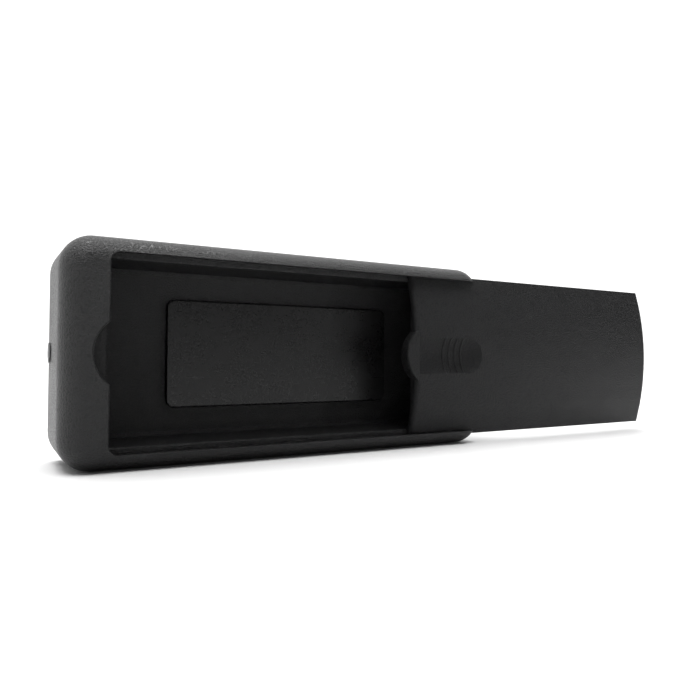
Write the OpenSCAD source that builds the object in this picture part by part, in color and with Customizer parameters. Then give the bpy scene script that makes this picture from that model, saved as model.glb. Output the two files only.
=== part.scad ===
// Magnetic key case with a sliding cover, standing on one long side.
//
// The case is drawn lying on its back: x runs along its length, y across its width and z up from
// the back to the front. stand() then turns it up on one long side, so that the front faces -Y.
// The origin is the middle of the long side that the case stands on.

/* [Case] */
// Length of the case
case_length = 123; // [108:1:148]
// Width across the front, which is the height when it stands on its side
case_width = 54; // [50:1:66]
// Depth from the front to the magnetic back
case_depth = 25; // [24:0.5:32]
// Corner radius seen from the front
corner_r = 7.5; // [7:0.5:9]
// Radius that rounds the front edges
front_r = 6.5; // [4:0.5:7]
// Radius that rounds the back edges
back_r = 1.2; // [0.6:0.1:2]
// Thickness of the long walls beside the cover's groove
side_wall = 2.85; // [2.4:0.05:3.6]
// Thickness of the wall at the open end
end_wall = 2.2; // [1.6:0.1:3]
// Flat land between the closed end and the opening
land_length = 10.5; // [9.5:0.5:14]

/* [Compartment] */
// Height of the compartment floor above the back
floor_height = 8.5; // [8.5:0.25:10]
// Thickness of the plastic under the floor
floor_wall = 2.2; // [1.6:0.1:3]
// Width of the ledge that the cover slides on
ledge_width = 2.45; // [2:0.05:3.5]
// How much the compartment narrows on each side from ledge to floor
wall_draft = 0.7; // [0.2:0.1:1.2]
// Size of the sloping corner along the floor
floor_corner = 1; // [0.4:0.1:2]
// Corner radius of the opening at the closed end
opening_r = 2.2; // [1:0.1:4]
// Radius that rounds the rim of the opening
rim_r = 0.45; // [0.2:0.05:0.8]
// Radius that rounds the inner edge of the ledges
ledge_r = 0.35; // [0.2:0.05:0.6]

/* [Cover] */
// Thickness of the lip above the cover's flange, at the front face
lip_thickness = 1.9; // [1.6:0.1:2.4]
// Thickness of the cover along its long edges
flange_thickness = 1.3; // [1:0.05:1.8]
// How far the cover reaches under each lip
flange_overlap = 1; // [0.8:0.1:2]
// Clearance all round the cover's edges in the grooves
slide_gap = 0.15; // [0.1:0.05:0.3]
// Gap between the closed cover and the land
end_gap = 0.2; // [0.1:0.05:0.5]
// Distance from the closed cover's end to the open end of the case
cover_inset = 5; // [1:0.1:6]
// Thickness of the cover at the creases between its bands and the crown
cover_wall = 2; // [1.6:0.1:2.4]
// Width of the sloping band along each side of the cover
band_width = 8.8; // [6:0.1:10]
// Slope of the bands, in degrees
band_angle = 13; // [8:0.5:16]
// Radius of the crowned middle
crown_r = 91; // [80:1:140]
// Radius that rounds the cover's end beside the thumb tab
lead_r = 1.4; // [0.8:0.1:1.6]
// Radius that rounds the cover's free end
tail_r = 2.2; // [1.5:0.1:3]
// How far the cover stands open at rest
open_travel = 84.9; // [40:0.1:88]

/* [Thumb tab and scoop] */
// Radius of the notch in the land
notch_r = 8.9; // [7:0.1:11]
// How far the notch reaches into the land
notch_depth = 3.5; // [2.5:0.1:4.5]
// Depth of the notch below the land
notch_floor = 5.4; // [4.8:0.1:6]
// Clearance between the tab and the notch
tab_gap = 0.2; // [0.15:0.05:0.5]
// Radius of the thumb scoop across the cover
scoop_r = 9; // [8:0.5:14]
// Depth of the scoop below the crown's top
scoop_depth = 1.9; // [1.4:0.05:2]
// Distance from the cover's end to the scoop
scoop_start = 1; // [0.8:0.1:4]
// Length of the scoop
scoop_length = 24; // [20:0.2:30]
// Distance from the cover's end to the middle of the grip ribs
rib_centre = 14.4; // [12:0.1:16]
// Height of the grip ribs in the scoop
rib_height = 0.2; // [0.15:0.05:0.4]
// Width of each grip rib
rib_width = 0.7; // [0.5:0.1:1]
// Distance between grip ribs
rib_pitch = 2.3; // [2:0.1:3]
// Number of grip ribs
rib_count = 4; // [3:1:5]

/* [Magnet] */
// How far the plate reaches past each end of the steel channel
plate_end = 4; // [3:0.1:6]
// How far the plate reaches past each long side of the steel channel
plate_side = 2.25; // [2.2:0.05:4]
// How far the plate stands above the floor
plate_rise = 1.2; // [0.6:0.1:2]
// Thickness of the plate
plate_thickness = 2.1; // [1.6:0.1:2.8]
// Corner radius of the plate
plate_r = 1.8; // [1:0.1:3]
// Open gap round the plate
plate_gap = 0.4; // [0.2:0.05:0.6]
// Length of the steel channel's base, end tabs included
channel_length = 60; // [52:0.2:61]
// Width of the steel channel
channel_width = 23; // [20:0.5:25]
// Thickness of the channel's steel
steel_thickness = 1.2; // [0.8:0.1:1.4]
// Length of each screwed end tab
tab_length = 5.7; // [5:0.1:7]
// How far the pole faces sit inside the back plane
pole_recess = 0.2; // [0:0.05:0.5]
// Thickness of the foam over the channel
foam_thickness = 1.2; // [1.1:0.1:1.6]
// Gap round the magnets and the channel
magnet_gap = 0.1; // [0.05:0.05:0.3]
// Radius of a screw's shank
screw_r = 1.1; // [0.9:0.05:1.3]
// How deep the threads bite into the plastic
thread_bite = 0.12; // [0.05:0.01:0.2]
// Radius of a screw's head
screw_head_r = 2.1; // [1.8:0.1:2.4]
// Height of a screw's head
screw_head_h = 1.1; // [0.8:0.1:1.1]
// Length of a screw's shank below its head
screw_length = 5; // [4:0.1:5.5]
// Radius of the plate's pegs
peg_r = 0.7; // [0.5:0.05:0.9]
// Length of the plate's pegs
peg_length = 3; // [2:0.1:4]

/* [Back] */
// Width of the long cored slots in the side walls
core_slot = 2.1; // [1.6:0.1:2.4]
// Thickness of the outer skin beside the cored slots
core_skin = 1.9; // [1.6:0.1:2.4]
// Thickness of the ribs between the cored pockets
core_rib = 1.6; // [1.2:0.1:2.4]
// Number of cored slots along each long side
core_count = 5; // [3:1:7]
// Diameter of the round gate mark on the closed end
gate_d = 5; // [3:0.5:7]
// Height of the gate mark
gate_h = 0.3; // [0.1:0.05:0.5]

/* [Hidden] */
$fn = 96;
eps = 0.01;
over = 5; // how far a cutter runs past the face it opens

half_length = case_length / 2;
half_width = case_width / 2;
opening_x = -half_length + land_length;
end_wall_x = half_length - end_wall;

// Levels above the back
lip_level = case_depth - lip_thickness;
flange_top = lip_level - slide_gap - flange_overlap * tan(band_angle); // at the cover's long edge
flange_bottom = flange_top - flange_thickness;
ledge_level = flange_bottom - slide_gap;

// Half widths, measured from the middle of the case
groove_half = half_width - side_wall;
flange_half = groove_half - slide_gap;
opening_half = flange_half - flange_overlap;
compartment_half = groove_half - ledge_width;
floor_half = compartment_half - wall_draft;

// Cover
cover_length = case_length - land_length - end_gap - cover_inset;
cover_x = opening_x + end_gap + open_travel;
crease_half = flange_half - band_width;
crease_level = flange_top + band_width * tan(band_angle);
crown_centre = crease_level - sqrt(crown_r * crown_r - crease_half * crease_half);
crown_top = crown_centre + crown_r;
flange_corner_r = 1.5;
band_tail_r = tail_r - 0.3;
tab_edge_r = 1.2;
tab_top = crown_top + 0.3; // before the crown trims it
skirt = 2.2;
scoop_half = sqrt(scoop_r * scoop_r - pow(scoop_r - scoop_depth, 2));
scoop_end = scoop_start + scoop_length;

// Magnet stack
plate_length = channel_length + 2 * plate_end;
plate_width = channel_width + 2 * plate_side;
pole_level = pole_recess;
recess_level = floor_height + plate_rise - plate_thickness;
foam_level = recess_level - foam_thickness;
shelf_level = foam_level - steel_thickness;
channel_body = channel_length - 2 * tab_length;
magnet_thickness = shelf_level - pole_level;
magnet_width = channel_width - 2 * steel_thickness - 2 * magnet_gap;
magnet_length = (channel_body - 3 * magnet_gap) / 2;
screw_x = channel_length / 2 - tab_length / 2;
peg_x = (channel_length + plate_end) / 2;
peg_y = (channel_width + plate_side) / 2;

// Stands the case up on its long side, front towards -Y.
module stand() {
    translate([0, case_depth / 2, 0])
        rotate([90, 0, 0])
            children();
}

// Draws children on the middle line of the case, still lying on its back.
module middle() {
    translate([0, half_width, 0]) children();
}

module rounded_rectangle(length, width, r) {
    square([length - 2 * r, width], center = true);
    square([length, width - 2 * r], center = true);
    for (x = [-1, 1])
        for (y = [-1, 1])
            translate([x * (length / 2 - r), y * (width / 2 - r)]) circle(r);
}

// Extrudes a section drawn in width and height along the length, from x to x + length.
module along_length(x, length) {
    translate([x, 0, 0])
        rotate([90, 0, 90])
            linear_extrude(length) children();
}

// Extrudes a section drawn in length and height across the width.
module across_width(width) {
    translate([0, width / 2, 0])
        rotate([90, 0, 0])
            linear_extrude(width) children();
}

// ---------------------------------------------------------------- case

// Section of the blank across one direction: square sides, round front and back edges.
module blank_section(span) {
    translate([-span / 2, back_r]) square([span, case_depth - back_r - front_r]);
    translate([-span / 2 + front_r, back_r]) square([span - 2 * front_r, case_depth - back_r]);
    translate([-span / 2 + back_r, 0]) square([span - 2 * back_r, case_depth / 2]);
    for (side = [-1, 1]) {
        translate([side * (span / 2 - front_r), case_depth - front_r]) circle(front_r);
        translate([side * (span / 2 - back_r), back_r]) circle(back_r);
    }
}

module blank_corner() {
    rotate_extrude()
        intersection() {
            blank_section(2 * corner_r);
            square([corner_r, case_depth]);
        }
}

module case_blank() {
    along_length(-half_length + corner_r, case_length - 2 * corner_r)
        blank_section(case_width);
    across_width(case_width - 2 * corner_r)
        blank_section(case_length);
    for (x = [-1, 1])
        for (y = [-1, 1])
            translate([x * (half_length - corner_r), y * (half_width - corner_r), 0])
                blank_corner();
}

// The groove for the cover's edges and the opening between the lips.
module cover_way() {
    run = case_length;
    notch_x = opening_x + notch_r - notch_depth;
    translate([opening_x, -groove_half, ledge_level])
        cube([run, 2 * groove_half, lip_level - ledge_level]);
    translate([opening_x + run / 2, 0, ledge_level])
        linear_extrude(case_depth)
            rounded_rectangle(run, 2 * opening_half, opening_r);
    translate([notch_x, 0, case_depth - notch_floor])
        cylinder(r = notch_r, h = case_depth);

    // Rounded rim of the opening and the notch, then of the ledges
    for (side = [0, 1])
        mirror([0, side, 0]) {
            translate([0, opening_half, case_depth])
                along_length(opening_x + opening_r, run) edge_round(rim_r);
            translate([opening_x + opening_r, opening_half - opening_r, case_depth])
                turned_edge(90, 90, opening_r, rim_r);
            translate([0, compartment_half, ledge_level])
                along_length(opening_x, end_wall_x - opening_x) edge_round(ledge_r);
        }
    translate([opening_x, 0, case_depth])
        mirror([1, 0, 0])
            across_width(2 * (opening_half - opening_r)) edge_round(rim_r);
    translate([notch_x, 0, case_depth])
        turned_edge(90, 180, notch_r, rim_r);
}

// What is cut away to round an edge whose top and side meet at the origin.
module edge_round(r) {
    difference() {
        translate([-over / 10, -r]) square([r + over / 10, r + over / 10]);
        translate([r, -r]) circle(r);
        translate([r, -r - over]) square([over, over]);
    }
}

// The same, turned round a vertical axis at radius from, over an angle from start.
module turned_edge(start, angle, from, r) {
    rotate(start)
        rotate_extrude(angle = angle)
            translate([from, 0]) edge_round(r);
}

module compartment() {
    length = end_wall_x - opening_x;
    along_length(opening_x, length)
        polygon([
            [-compartment_half, ledge_level + eps],
            [-floor_half, floor_height + floor_corner],
            [-floor_half + floor_corner, floor_height],
            [floor_half - floor_corner, floor_height],
            [floor_half, floor_height + floor_corner],
            [compartment_half, ledge_level + eps]
        ]);
}

// Recess for the plate, pocket for the steel channel and window for its poles.
module magnet_pocket() {
    fit = 2 * magnet_gap;
    translate([0, 0, recess_level])
        linear_extrude(floor_height)
            rounded_rectangle(plate_length + 2 * plate_gap, plate_width + 2 * plate_gap, plate_r + plate_gap);
    translate([-channel_length / 2 - magnet_gap, -channel_width / 2 - magnet_gap, shelf_level])
        cube([channel_length + fit, channel_width + fit, floor_height]);
    translate([-channel_body / 2 - magnet_gap, -channel_width / 2 - magnet_gap, -over])
        cube([channel_body + fit, channel_width + fit, floor_height + over]);
    for (side = [-1, 1]) {
        translate([side * screw_x, 0, foam_level - screw_length - 0.2])
            cylinder(r = screw_r - thread_bite, h = screw_length + 0.2);
        for (row = [-1, 1])
            translate([side * peg_x, row * peg_y, recess_level - peg_length - 0.2])
                cylinder(r = peg_r + 0.05, h = peg_length + over);
    }
}

// Pockets that thin the moulding from the back.
module back_cores() {
    slot_top = case_depth - front_r;
    slot_span = case_length - 2 * corner_r - 4;
    slot_pitch = (slot_span + core_rib) / core_count;
    for (side = [-1, 1])
        for (i = [0 : core_count - 1])
            translate([
                -slot_span / 2 + i * slot_pitch,
                side * (half_width - core_skin - core_slot / 2) - core_slot / 2,
                -over
            ])
                cube([slot_pitch - core_rib, core_slot, slot_top + over]);

    end_x = -half_length + end_wall;
    end_top = case_depth - notch_floor - 2;
    end_width = half_width - corner_r + 1;
    for (side = [0, 1])
        mirror([0, side, 0])
            translate([end_x, core_rib / 2, -over])
                cube([opening_x - 2 - end_x, end_width - core_rib / 2, end_top + over]);

    floor_top = floor_height - floor_wall;
    inner = floor_half - floor_corner - 0.4;
    magnet_box_x = plate_length / 2 + plate_gap + core_rib;
    magnet_box_y = channel_width / 2 + magnet_gap + core_rib;
    for (side = [0, 1])
        mirror([0, side, 0]) {
            pocket(opening_x + 1, -magnet_box_x, core_rib / 2, inner, floor_top);
            pocket(magnet_box_x, end_wall_x - 1, core_rib / 2, inner, floor_top);
            pocket(-magnet_box_x + core_rib, -core_rib / 2, magnet_box_y, inner, recess_level - floor_wall);
            pocket(core_rib / 2, magnet_box_x - core_rib, magnet_box_y, inner, recess_level - floor_wall);
        }
}

// One square pocket from the back, between x0 and x1, y0 and y1, up to level.
module pocket(x0, x1, y0, y1, level) {
    translate([x0, y0, -over]) cube([x1 - x0, y1 - y0, level + over]);
}

module gate_mark() {
    translate([-half_length - gate_h, 0, back_r + gate_d / 2])
        rotate([0, 90, 0])
            cylinder(d = gate_d, h = gate_h + 1);
}

module case_body() {
    color([0.13, 0.13, 0.14])
        stand()
            middle()
                difference() {
                    union() {
                        case_blank();
                        gate_mark();
                    }
                    cover_way();
                    compartment();
                    magnet_pocket();
                    back_cores();
                }
}

// ---------------------------------------------------------------- cover

// Side view of the cover against a top at height zero: rounded at both ends, the free one by end_r.
module cover_side(depth, end_r) {
    translate([0, -depth]) square([cover_length, depth - end_r]);
    translate([lead_r, -depth]) square([cover_length - lead_r - end_r, depth]);
    translate([0, -depth]) square([lead_r + eps, depth - lead_r]);
    translate([lead_r, -lead_r]) circle(lead_r);
    translate([cover_length - end_r, -end_r]) circle(end_r);
}

// The crown, turned about its own centre line, so that its ends round over evenly.
module crown() {
    translate([0, 0, crown_centre])
        rotate([0, 90, 0])
            rotate_extrude($fn = 360)
                rotate(90)
                    mirror([0, 1])
                        translate([0, crown_r]) cover_side(crown_r * 0.3, tail_r);
}

// Everything below one sloping band, rounded at both ends; side is -1 or 1.
module band(side) {
    translate([0, side * flange_half, flange_top])
        rotate([-side * band_angle, 0, 0])
            across_width(3 * case_width) cover_side(case_depth, band_tail_r);
}

// Front view of the cover: straight sides with rounded corners.
module cover_plan() {
    translate([cover_length / 2, 0])
        rounded_rectangle(cover_length, 2 * flange_half, flange_corner_r);
}

// The thumb tab: a disc with a rounded top edge, under the same crown.
module thumb_tab() {
    tab_r = notch_r - tab_gap;
    intersection() {
        translate([notch_r - notch_depth, 0, flange_bottom])
            rotate_extrude()
                difference() {
                    square([tab_r, tab_top - flange_bottom]);
                    translate([tab_r, tab_top - flange_bottom])
                        mirror([1, 0]) edge_round(tab_edge_r);
                }
        along_length(-notch_depth, notch_depth + scoop_start)
            translate([0, crown_centre]) circle(crown_r, $fn = 360);
    }
}

// The hollow under the cover, flat under the crown and open at the thumb end.
module cover_hollow() {
    from = -notch_depth - 1;
    ceiling = crease_level - cover_wall;
    along_length(from, cover_length - skirt - from)
        polygon([
            [-flange_half, flange_bottom - over],
            [-flange_half, flange_top - cover_wall],
            [-crease_half, ceiling],
            [crease_half, ceiling],
            [flange_half, flange_top - cover_wall],
            [flange_half, flange_bottom - over]
        ]);
}

// A trough for the thumb, square at the cover's end and round at its other end.
module scoop_cutter() {
    axis_level = crown_top - scoop_depth + scoop_r;
    round_x = scoop_end - scoop_half;
    rib_x = rib_centre - (rib_count - 1) / 2 * rib_pitch;
    translate([0, 0, axis_level])
        rotate([0, 90, 0]) {
            difference() {
                translate([0, 0, scoop_start]) cylinder(r = scoop_r, h = round_x - scoop_start);
                for (i = [0 : rib_count - 1])
                    translate([0, 0, rib_x + i * rib_pitch - rib_width / 2])
                        difference() {
                            cylinder(r = scoop_r + 1, h = rib_width);
                            translate([0, 0, -1]) cylinder(r = scoop_r - rib_height, h = rib_width + 2);
                        }
            }
            translate([0, 0, round_x]) sphere(scoop_r);
        }
}

module cover_solid() {
    intersection() {
        crown();
        band(-1);
        band(1);
        translate([0, 0, flange_bottom]) linear_extrude(case_depth) cover_plan();
    }
    thumb_tab();
}

module sliding_cover() {
    color([0.11, 0.11, 0.12])
        stand()
            middle()
                translate([cover_x, 0, 0])
                    difference() {
                        cover_solid();
                        cover_hollow();
                        scoop_cutter();
                    }
}

// ---------------------------------------------------------------- magnet assembly

module magnet_cover_plate() {
    color([0.14, 0.14, 0.15])
        stand()
            middle() {
                translate([0, 0, recess_level])
                    linear_extrude(plate_thickness)
                        rounded_rectangle(plate_length, plate_width, plate_r);
                for (x = [-1, 1])
                    for (y = [-1, 1])
                        translate([x * peg_x, y * peg_y, recess_level - peg_length])
                            cylinder(r = peg_r, h = peg_length + 1);
            }
}

module steel_channel() {
    flange_y = channel_width / 2 - steel_thickness;
    color([0.62, 0.63, 0.65])
        stand()
            middle()
                difference() {
                    union() {
                        translate([-channel_length / 2, -channel_width / 2, shelf_level])
                            cube([channel_length, channel_width, steel_thickness]);
                        for (y = [-channel_width / 2, flange_y])
                            translate([-channel_body / 2, y, pole_level])
                                cube([channel_body, steel_thickness, shelf_level - pole_level + eps]);
                    }
                    for (side = [-1, 1])
                        translate([side * screw_x, 0, shelf_level - over])
                            cylinder(r = screw_r + 0.1, h = 2 * over);
                }
}

// One ferrite block; side is -1 for the left one and 1 for the right one.
module magnet(side) {
    x = side * (magnet_length + magnet_gap) / 2;
    color([0.2, 0.19, 0.19])
        stand()
            middle()
                translate([x - magnet_length / 2, -magnet_width / 2, pole_level])
                    cube([magnet_length, magnet_width, magnet_thickness]);
}

module magnet_left() {
    magnet(-1);
}

module magnet_right() {
    magnet(1);
}

module foam_pad() {
    margin = 1;
    color([0.3, 0.3, 0.31])
        stand()
            middle()
                translate([-channel_body / 2 + margin, -channel_width / 2 + margin, foam_level])
                    cube([channel_body - 2 * margin, channel_width - 2 * margin, foam_thickness]);
}

module channel_screw() {
    translate([0, 0, foam_level]) {
        difference() {
            cylinder(r = screw_head_r, h = screw_head_h);
            for (turn = [0, 90])
                rotate(turn)
                    translate([-1.3, -0.3, 0.45]) cube([2.6, 0.6, 2]);
        }
        translate([0, 0, -screw_length])
            cylinder(r = screw_r, h = screw_length + eps);
    }
}

module channel_screws() {
    color([0.7, 0.68, 0.6])
        stand()
            middle()
                for (side = [-1, 1])
                    translate([side * screw_x, 0, 0]) channel_screw();
}

case_body();
sliding_cover();
magnet_cover_plate();
steel_channel();
magnet_left();
magnet_right();
foam_pad();
channel_screws();
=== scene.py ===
"""Dresses and lights a plastic key case with a sliding cover and a magnetic back."""

import logging
import math
from dataclasses import dataclass
from enum import Enum

import bpy
from mathutils import Matrix, Vector

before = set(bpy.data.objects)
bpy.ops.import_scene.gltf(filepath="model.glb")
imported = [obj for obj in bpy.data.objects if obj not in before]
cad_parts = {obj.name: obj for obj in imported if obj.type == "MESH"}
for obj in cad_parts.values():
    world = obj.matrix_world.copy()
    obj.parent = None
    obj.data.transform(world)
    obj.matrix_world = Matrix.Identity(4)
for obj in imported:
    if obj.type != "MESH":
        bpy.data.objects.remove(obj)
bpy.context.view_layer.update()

LOG = logging.getLogger("key_case")

MM = 0.001
CASE_CENTRE = (0.02, 0.0, 0.027)

Colour = tuple[float, float, float]
Triple = tuple[float, float, float]


def scaled(colour: Colour, factor: float) -> Colour:
    """Brightens or darkens a colour.

    Args:
        colour: The colour.
        factor: What each channel is multiplied by.

    Returns:
        The new colour.
    """
    return tuple(channel * factor for channel in colour)


# ------------------------------------------------------------------ node tree helper


class Graph:
    """A shader node tree with short calls for the nodes that the finishes share."""

    def __init__(self, tree: bpy.types.NodeTree) -> None:
        """Clears a node tree and keeps it.

        Args:
            tree: The node tree of a material or a world.
        """
        self.tree = tree
        tree.nodes.clear()

    def node(self, kind: str, **values: object) -> bpy.types.Node:
        """Adds a node and sets its attributes.

        Args:
            kind: The node's type name, without the ShaderNode prefix.
            values: Attributes of the node to set.

        Returns:
            The new node.
        """
        made = self.tree.nodes.new("ShaderNode" + kind)
        for name, value in values.items():
            setattr(made, name, value)
        return made

    def link(self, out: bpy.types.NodeSocket, into: bpy.types.NodeSocket) -> None:
        """Joins an output socket to an input socket.

        Args:
            out: The output.
            into: The input.
        """
        self.tree.links.new(out, into)

    def math(
        self,
        operation: str,
        first: bpy.types.NodeSocket | float,
        second: bpy.types.NodeSocket | float = 0.0,
    ) -> bpy.types.NodeSocket:
        """Adds a Math node.

        Args:
            operation: The node's operation, such as MULTIPLY.
            first: A socket or a number.
            second: A socket or a number.

        Returns:
            The node's output.
        """
        made = self.node("Math", operation=operation)
        for index, value in enumerate((first, second)):
            if isinstance(value, (int, float)):
                made.inputs[index].default_value = value
            else:
                self.link(value, made.inputs[index])
        return made.outputs[0]

    def span(
        self,
        value: bpy.types.NodeSocket,
        low: float,
        high: float,
        to_low: float = 0.0,
        to_high: float = 1.0,
    ) -> bpy.types.NodeSocket:
        """Maps a value's range onto another range, with the ramp's ends eased.

        Args:
            value: The value to map.
            low: The value that gives to_low.
            high: The value that gives to_high.
            to_low: The result at low.
            to_high: The result at high.

        Returns:
            The mapped value.
        """
        made = self.node("MapRange", interpolation_type="SMOOTHSTEP")
        self.link(value, made.inputs["Value"])
        made.inputs["From Min"].default_value = low
        made.inputs["From Max"].default_value = high
        made.inputs["To Min"].default_value = to_low
        made.inputs["To Max"].default_value = to_high
        return made.outputs["Result"]

    def noise(
        self,
        place: bpy.types.NodeSocket,
        size_mm: float,
        detail: float = 3.0,
        rough: float = 0.5,
        stretch: Triple = (1.0, 1.0, 1.0),
    ) -> bpy.types.NodeSocket:
        """Adds a noise whose blobs have a given size.

        Args:
            place: The coordinates to read, in metres.
            size_mm: About the size of one blob.
            detail: The number of octaves.
            rough: The weight of the finer octaves.
            stretch: Scale of the pattern along each axis.

        Returns:
            The noise value, around 0.5.
        """
        if stretch != (1.0, 1.0, 1.0):
            turned = self.node("Mapping")
            turned.inputs["Scale"].default_value = stretch
            self.link(place, turned.inputs["Vector"])
            place = turned.outputs["Vector"]
        made = self.node("TexNoise")
        made.inputs["Scale"].default_value = 1.0 / (size_mm * MM)
        made.inputs["Detail"].default_value = detail
        made.inputs["Roughness"].default_value = rough
        self.link(place, made.inputs["Vector"])
        return made.outputs["Fac"]

    def mix(
        self,
        amount: bpy.types.NodeSocket,
        first: bpy.types.NodeSocket | Colour,
        second: bpy.types.NodeSocket | Colour,
    ) -> bpy.types.NodeSocket:
        """Mixes two colours.

        Args:
            amount: How much of the second colour shows.
            first: A colour socket or a colour.
            second: A colour socket or a colour.

        Returns:
            The mixed colour.
        """
        made = self.node("Mix", data_type="RGBA")
        self.link(amount, made.inputs["Factor"])
        for socket, value in ((made.inputs[6], first), (made.inputs[7], second)):
            if isinstance(value, tuple):
                socket.default_value = (*value, 1.0)
            else:
                self.link(value, socket)
        return made.outputs[2]

    def bump(
        self,
        height: bpy.types.NodeSocket,
        depth_mm: float,
        strength: float = 1.0,
        under: bpy.types.NodeSocket | None = None,
    ) -> bpy.types.NodeSocket:
        """Adds a Bump node.

        Args:
            height: The height, from 0 to 1.
            depth_mm: The real height of a step from 0 to 1.
            strength: How much of the bump shows.
            under: A normal to build on.

        Returns:
            The bumped normal.
        """
        made = self.node("Bump")
        made.inputs["Strength"].default_value = strength
        made.inputs["Distance"].default_value = depth_mm * MM
        self.link(height, made.inputs["Height"])
        if under is not None:
            self.link(under, made.inputs["Normal"])
        return made.outputs["Normal"]


# ------------------------------------------------------------------ finishes


@dataclass(frozen=True)
class OpenMaterial:
    """A new material whose tree holds a shader, an output and object coordinates.

    Attributes:
        made: The material.
        graph: Its node tree.
        shader: Its Principled BSDF.
        place: The object coordinates, in metres.
    """

    made: bpy.types.Material
    graph: Graph
    shader: bpy.types.Node
    place: bpy.types.NodeSocket


def open_material(name: str, base: Colour) -> OpenMaterial:
    """Starts a material.

    Args:
        name: The material's name.
        base: Its colour in solid view.

    Returns:
        The material and the parts of its tree that every finish uses.
    """
    made = bpy.data.materials.new(name)
    made.use_nodes = True
    made.diffuse_color = (*base, 1.0)
    graph = Graph(made.node_tree)
    out = graph.node("OutputMaterial")
    shader = graph.node("BsdfPrincipled")
    graph.link(shader.outputs[0], out.inputs["Surface"])
    return OpenMaterial(made, graph, shader, graph.node("TexCoord").outputs["Object"])


class Mould(Enum):
    """How a moulded face was finished in its tool."""

    TEXTURED = "textured"
    SATIN = "satin"


@dataclass(frozen=True)
class MouldedPlastic:
    """Black moulded plastic with the fine grain of a spark-eroded tool.

    Attributes:
        name: The material's name.
        base: Colour of the plastic.
        rubbed_and_highlight: Colour of scuffs and handled spots, and of the painted highlight
            along the edges.
        roughness: Roughness of a clean face.
        grain_mm: Size of the grain.
        grain_depth_mm: Height of the grain.
        mould: How the tool was finished.
        edge_mm: Radius over which worn edges soften.
        gloss: Strength of the shine, where 0.5 is a plain plastic's.
        flow_mm: Size of the slow changes of tone.
        smudge_mm: Size of the patches where the surface was handled.
        scuff_mm: Width of the scuffs along the case.
        worn_polish: How much smoother a worn spot is.
        satin_share: Share of the grain's height on a satin face.
    """

    name: str
    base: Colour
    rubbed_and_highlight: Colour
    roughness: float = 0.36
    grain_mm: float = 0.5
    grain_depth_mm: float = 0.12
    mould: Mould = Mould.TEXTURED
    # edge_mm: Radius over which the edges soften and lighten.
    edge_mm: float = 0.3
    gloss: float = 0.34
    flow_mm: float = 26.0
    smudge_mm: float = 7.0
    scuff_mm: float = 1.1
    # worn_polish: How much smoother the scuffs and the lightened edges are.
    worn_polish: float = 0.2
    satin_share: float = 0.1

    def build(self) -> bpy.types.Material:
        """Makes the material.

        Returns:
            The material, with its colour, roughness and bump from nodes.
        """
        opened = open_material(self.name, self.base)
        g, shader, place = opened.graph, opened.shader, opened.place
        flow = g.noise(place, self.flow_mm, 2.0)
        smudge = g.noise(place, self.smudge_mm, 4.0, 0.6)
        grain = g.noise(place, self.grain_mm, 3.0, 0.7)
        fine = g.noise(place, self.grain_mm * 0.4, 1.0, 0.5)
        soft = g.node("Bevel", samples=6)
        soft.inputs["Radius"].default_value = self.edge_mm * MM
        turn = g.node("VectorMath", operation="DOT_PRODUCT")
        g.link(soft.outputs["Normal"], turn.inputs[0])
        g.link(g.node("NewGeometry").outputs["Normal"], turn.inputs[1])
        edge = g.span(turn.outputs["Value"], 0.72, 0.985, 1.0, 0.0)
        # Faint scuffs run along the case, the way the cover is pushed.
        scuff = g.noise(place, self.scuff_mm, 3.0, 0.55, stretch=(0.09, 1.0, 1.0))
        marks = g.math("MULTIPLY", g.span(scuff, 0.62, 0.78), g.span(smudge, 0.42, 0.6))
        # Edges are lightened toward the wear colour: partly real edge wear, partly a painted
        # highlight along the edges.
        edge_rub_and_highlight = g.math("MULTIPLY", edge, g.span(smudge, 0.36, 0.6, 0.35, 1.0))
        wear_and_edge_highlight = g.math("MAXIMUM", g.math("MULTIPLY", marks, 0.5), edge_rub_and_highlight)
        tone = g.span(g.math("ADD", flow, g.math("MULTIPLY", smudge, 0.6)), 0.55, 1.05)
        shade = g.mix(tone, self.base, scaled(self.base, 1.22))
        speck = g.span(fine, 0.6, 0.8, 0.0, 0.3)
        colour = g.mix(speck, shade, scaled(self.base, 1.9))
        g.link(g.mix(wear_and_edge_highlight, colour, self.rubbed_and_highlight), shader.inputs["Base Color"])
        rough = g.math("ADD", g.span(smudge, 0.3, 0.7, -0.02, 0.02), self.roughness)
        rough = g.math("ADD", rough, g.span(grain, 0.3, 0.7, -0.04, 0.04))
        polish = g.math("MULTIPLY", wear_and_edge_highlight, self.worn_polish)
        g.link(g.math("SUBTRACT", rough, polish), shader.inputs["Roughness"])
        shader.inputs["IOR"].default_value = 1.49
        shader.inputs["Specular IOR Level"].default_value = self.gloss
        share = 1.0 if self.mould is Mould.TEXTURED else self.satin_share
        pebble = g.span(grain, 0.38, 0.66)
        height = g.math("ADD", pebble, g.math("MULTIPLY", fine, 0.4))
        sink = g.bump(flow, 0.03, 0.4, soft.outputs["Normal"])
        g.link(g.bump(height, self.grain_depth_mm * share, 1.0, sink), shader.inputs["Normal"])
        return opened.made


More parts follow.
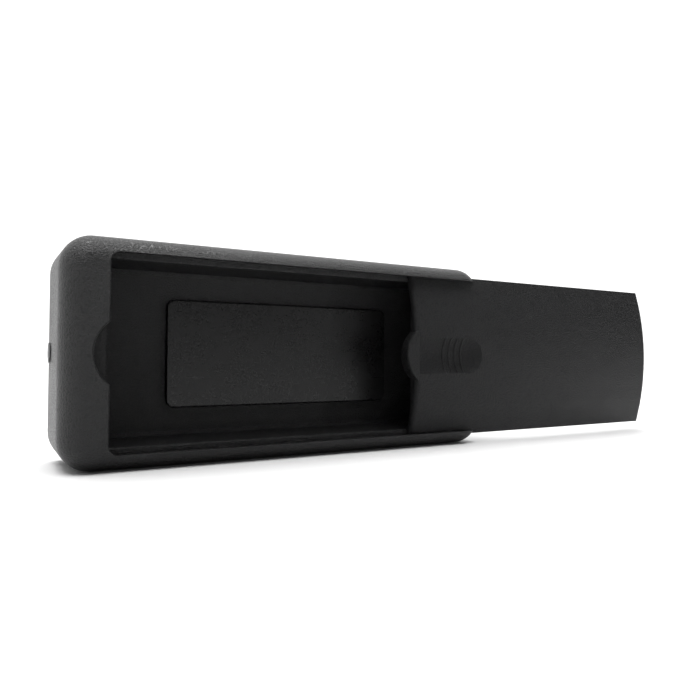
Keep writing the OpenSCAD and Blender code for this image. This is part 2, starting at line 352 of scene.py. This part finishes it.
@dataclass(frozen=True)
class PlatedSteel:
    """Rolled steel with a dull zinc plating.

    Attributes:
        name: The material's name.
        base: Colour of the plating.
        roughness: Roughness of a clean face.
    """

    name: str
    base: Colour = (0.56, 0.57, 0.58)
    roughness: float = 0.34

    def build(self) -> bpy.types.Material:
        """Makes the material, with rolling lines along the strip and dull spots.

        Returns:
            The material.
        """
        opened = open_material(self.name, self.base)
        g, shader, place = opened.graph, opened.shader, opened.place
        lines = g.noise(place, 0.35, 3.0, 0.6, stretch=(0.03, 1.0, 1.0))
        cloud = g.noise(place, 3.0, 4.0, 0.6)
        dull = g.span(cloud, 0.45, 0.7)
        shade = g.mix(dull, self.base, scaled(self.base, 0.72))
        g.link(shade, shader.inputs["Base Color"])
        shader.inputs["Metallic"].default_value = 1.0
        rough = g.math("ADD", g.span(lines, 0.3, 0.7, -0.05, 0.08), self.roughness)
        g.link(g.math("ADD", rough, g.math("MULTIPLY", dull, 0.14)), shader.inputs["Roughness"])
        g.link(g.bump(lines, 0.006), shader.inputs["Normal"])
        return opened.made


@dataclass(frozen=True)
class GroundFerrite:
    """Dark grey ferrite with a ground face and small pits.

    Attributes:
        name: The material's name.
        base: Colour of the ground face.
    """

    name: str
    base: Colour = (0.055, 0.052, 0.05)

    def build(self) -> bpy.types.Material:
        """Makes the material, with grinding lines, pits darkened by painted shade and changes
        of tone.

        Returns:
            The material.
        """
        opened = open_material(self.name, self.base)
        g, shader, place = opened.graph, opened.shader, opened.place
        lines = g.noise(place, 0.5, 3.0, 0.6, stretch=(1.0, 1.0, 0.05))
        pits = g.noise(place, 0.8, 4.0, 0.7)
        pit = g.span(pits, 0.28, 0.36, 1.0, 0.0)
        tone = g.span(g.noise(place, 5.0, 3.0), 0.35, 0.7)
        shade = g.mix(tone, self.base, scaled(self.base, 1.5))
        # The pits are darkened in colour: painted shade in the hollows.
        g.link(g.mix(pit, shade, scaled(self.base, 0.4)), shader.inputs["Base Color"])
        g.link(g.span(lines, 0.3, 0.7, 0.42, 0.58), shader.inputs["Roughness"])
        height = g.math("SUBTRACT", g.math("MULTIPLY", lines, 0.5), pit)
        g.link(g.bump(height, 0.03), shader.inputs["Normal"])
        return opened.made


@dataclass(frozen=True)
class CellFoam:
    """Dark closed-cell foam.

    Attributes:
        name: The material's name.
        base: Colour of the foam.
        cell_mm: Size of the cells.
    """

    name: str
    base: Colour = (0.03, 0.03, 0.032)
    cell_mm: float = 0.35

    def build(self) -> bpy.types.Material:
        """Makes the material from small round cells, with painted shade in the hollow of each
        cell.

        Returns:
            The material.
        """
        opened = open_material(self.name, self.base)
        g, shader, place = opened.graph, opened.shader, opened.place
        cells = g.node("TexVoronoi")
        cells.inputs["Scale"].default_value = 1.0 / (self.cell_mm * MM)
        g.link(place, cells.inputs["Vector"])
        pore = g.span(cells.outputs["Distance"], 0.1, 0.5)
        dark = scaled(self.base, 0.5)
        # The cell hollows are darkened in colour: painted shade.
        g.link(g.mix(pore, dark, self.base), shader.inputs["Base Color"])
        g.link(g.span(pore, 0.0, 1.0, 0.8, 0.95), shader.inputs["Roughness"])
        g.link(g.bump(pore, 0.08), shader.inputs["Normal"])
        return opened.made


# ------------------------------------------------------------------ dressing


def dress(node: str, material: bpy.types.Material) -> None:
    """Gives a carried-over node a finish.

    Args:
        node: The node's name.
        material: The finish.
    """
    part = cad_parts[node]
    part.data.materials.clear()
    part.data.materials.append(material)
    LOG.info("%s dressed in %s", node, material.name)


@dataclass(frozen=True)
class Mouldings:
    """The case, the cover and the plate over the magnet."""

    body: MouldedPlastic = MouldedPlastic(
        "body plastic", (0.0045, 0.0045, 0.0049), (0.03, 0.03, 0.031), gloss=0.42
    )
    cover: MouldedPlastic = MouldedPlastic(
        "cover plastic", (0.0055, 0.0055, 0.006), (0.03, 0.03, 0.031), gloss=0.24
    )
    plate: MouldedPlastic = MouldedPlastic(
        "plate plastic", (0.006, 0.006, 0.0062), (0.02, 0.02, 0.02), 0.3, mould=Mould.SATIN
    )

    def build(self) -> None:
        """Dresses the three mouldings."""
        dress("case_body", self.body.build())
        dress("sliding_cover", self.cover.build())
        dress("magnet_cover_plate", self.plate.build())


@dataclass(frozen=True)
class MagnetStack:
    """The steel channel, its two magnets, the foam over them and the screws."""

    steel: PlatedSteel = PlatedSteel("zinc plated steel")
    screw: PlatedSteel = PlatedSteel("zinc plated screws", (0.6, 0.57, 0.48), 0.28)
    ferrite: GroundFerrite = GroundFerrite("ground ferrite")
    foam: CellFoam = CellFoam("closed cell foam")

    def build(self) -> None:
        """Dresses the pieces of the stack."""
        dress("steel_channel", self.steel.build())
        dress("channel_screws", self.screw.build())
        ferrite = self.ferrite.build()
        dress("magnet_left", ferrite)
        dress("magnet_right", ferrite)
        dress("foam_pad", self.foam.build())


# ------------------------------------------------------------------ studio


@dataclass(frozen=True)
class Studio:
    """White sweep, soft lights and the camera.

    Attributes:
        floor_size: Length of the floor's sides, in metres.
        floor_colour: Colour of the floor.
        floor_roughness: Roughness of the floor.
        focal_px: Focal length, in picture units.
        centre_px: Where the camera's axis meets the picture.
        image_px: Side of the square picture.
        yaw: Turn of the camera to the right of +Y, in radians.
        pitch: Tilt of the camera above level, in radians.
        roll: Turn of the camera about its axis, in radians.
        place: Where the camera stands.
        back_level: Strength of the white behind the case.
        left_level: Strength of the white on the left.
        front_level: Strength of the surroundings in front.
        sun_power: Irradiance of the overhead light.
        sun_spread: Angle that the overhead light fills, in radians.
        sun_heading: Direction that the overhead light shines in.
        key_power: Power of the key light, in watts.
        key_size: Width and height of the key light.
        key_azimuth: Turn of the key light to the right of -Y, in radians.
        key_height: Height of the key light above level, in radians.
    """

    floor_size: float = 6.0
    floor_colour: Colour = (0.76, 0.76, 0.76)
    floor_roughness: float = 0.6
    focal_px: float = 608.0
    centre_px: tuple[float, float] = (310.0, 341.3)
    image_px: float = 700.0
    yaw: float = 0.4971
    pitch: float = 0.0229
    roll: float = 0.0068
    place: Triple = (-0.07654, -0.15263, 0.02681)
    back_level: float = 1.3
    left_level: float = 0.22
    front_level: float = 0.05
    sun_power: float = 4.6
    sun_spread: float = math.radians(54.0)
    sun_heading: Triple = (0.0, 0.05, -1.0)
    key_power: float = 0.7
    key_size: tuple[float, float] = (0.04, 0.3)
    key_azimuth: float = math.radians(52.7)
    key_height: float = math.radians(12.0)

    def floor(self) -> None:
        """Lays a large pale floor under the case."""
        bpy.ops.object.select_all(action="DESELECT")
        bpy.ops.mesh.primitive_plane_add(size=self.floor_size, location=(0.0, 0.0, 0.0))
        sheet = bpy.context.object
        sheet.name = "floor"
        opened = open_material("pale floor", self.floor_colour)
        opened.shader.inputs["Base Color"].default_value = (*self.floor_colour, 1.0)
        opened.shader.inputs["Roughness"].default_value = self.floor_roughness
        sheet.data.materials.append(opened.made)

    def world(self) -> None:
        """Sets white surroundings behind the case and on its left, and dark ones in front."""
        made = bpy.data.worlds.new("studio")
        bpy.context.scene.world = made
        made.use_nodes = True
        g = Graph(made.node_tree)
        out = g.node("OutputWorld")
        back = g.node("Background")
        place = g.node("TexCoord").outputs["Generated"]
        split = g.node("SeparateXYZ")
        g.link(place, split.inputs[0])
        behind = g.span(split.outputs["Y"], -0.1, 0.35, self.front_level, self.back_level)
        left = g.span(split.outputs["X"], -0.9, -0.4, self.left_level, 0.0)
        g.link(g.math("MAXIMUM", behind, left), back.inputs["Strength"])
        back.inputs["Color"].default_value = (1.0, 1.0, 1.0, 1.0)
        g.link(back.outputs[0], out.inputs["Surface"])

    def lamp(self, name: str, data: bpy.types.Light, heading: Vector) -> bpy.types.Object:
        """Adds a light that shines in a direction.

        Args:
            name: The light's name.
            data: The light's data.
            heading: The direction that it shines in.

        Returns:
            The light's object.
        """
        made = bpy.data.objects.new(name, data)
        bpy.context.scene.collection.objects.link(made)
        made.rotation_euler = heading.to_track_quat("-Z", "Y").to_euler()
        return made

    def overhead(self) -> None:
        """Adds the broad distant light above the case."""
        data = bpy.data.lights.new("overhead light", "SUN")
        data.energy = self.sun_power
        data.angle = self.sun_spread
        self.lamp("overhead light", data, Vector(self.sun_heading))

    def key(self) -> None:
        """Adds the small tall light whose shadow of the cover falls on the plate."""
        data = bpy.data.lights.new("key light", "AREA")
        data.shape = "RECTANGLE"
        data.size, data.size_y = self.key_size
        data.energy = self.key_power
        level = math.cos(self.key_height)
        aim = Vector(
            (
                math.sin(self.key_azimuth) * level,
                -math.cos(self.key_azimuth) * level,
                math.sin(self.key_height),
            )
        )
        made = self.lamp("key light", data, -aim)
        made.location = Vector(CASE_CENTRE) + aim

    def camera(self) -> None:
        """Places the camera in front of the open face, to the left of the middle."""
        data = bpy.data.cameras.new("camera")
        data.sensor_width = 36.0
        data.lens = self.focal_px / self.image_px * data.sensor_width
        half = self.image_px / 2
        data.shift_x = (half - self.centre_px[0]) / self.image_px
        data.shift_y = (self.centre_px[1] - half) / self.image_px
        data.clip_start = 0.01
        data.dof.use_dof = False
        ahead = Vector(
            (
                math.sin(self.yaw) * math.cos(self.pitch),
                math.cos(self.yaw) * math.cos(self.pitch),
                math.sin(self.pitch),
            )
        )
        side = Vector((math.cos(self.yaw), -math.sin(self.yaw), 0.0))
        up = side.cross(ahead)
        right = side * math.cos(self.roll) + up * math.sin(self.roll)
        top = up * math.cos(self.roll) - side * math.sin(self.roll)
        turn = Matrix((right, top, -ahead)).transposed().to_4x4()
        camera = bpy.data.objects.new("camera", data)
        bpy.context.scene.collection.objects.link(camera)
        camera.matrix_world = Matrix.Translation(self.place) @ turn
        bpy.context.scene.camera = camera

    def build(self) -> None:
        """Sets up the floor, the surroundings, the lights and the camera."""
        self.camera()
        self.floor()
        self.world()
        self.overhead()
        self.key()
        bpy.context.scene.view_settings.view_transform = "Standard"


def main() -> None:
    """Builds the studio and dresses the case."""
    logging.basicConfig(level=logging.INFO, format="%(message)s")
    Studio().build()
    Mouldings().build()
    MagnetStack().build()


if __name__ == "__main__":
    main()
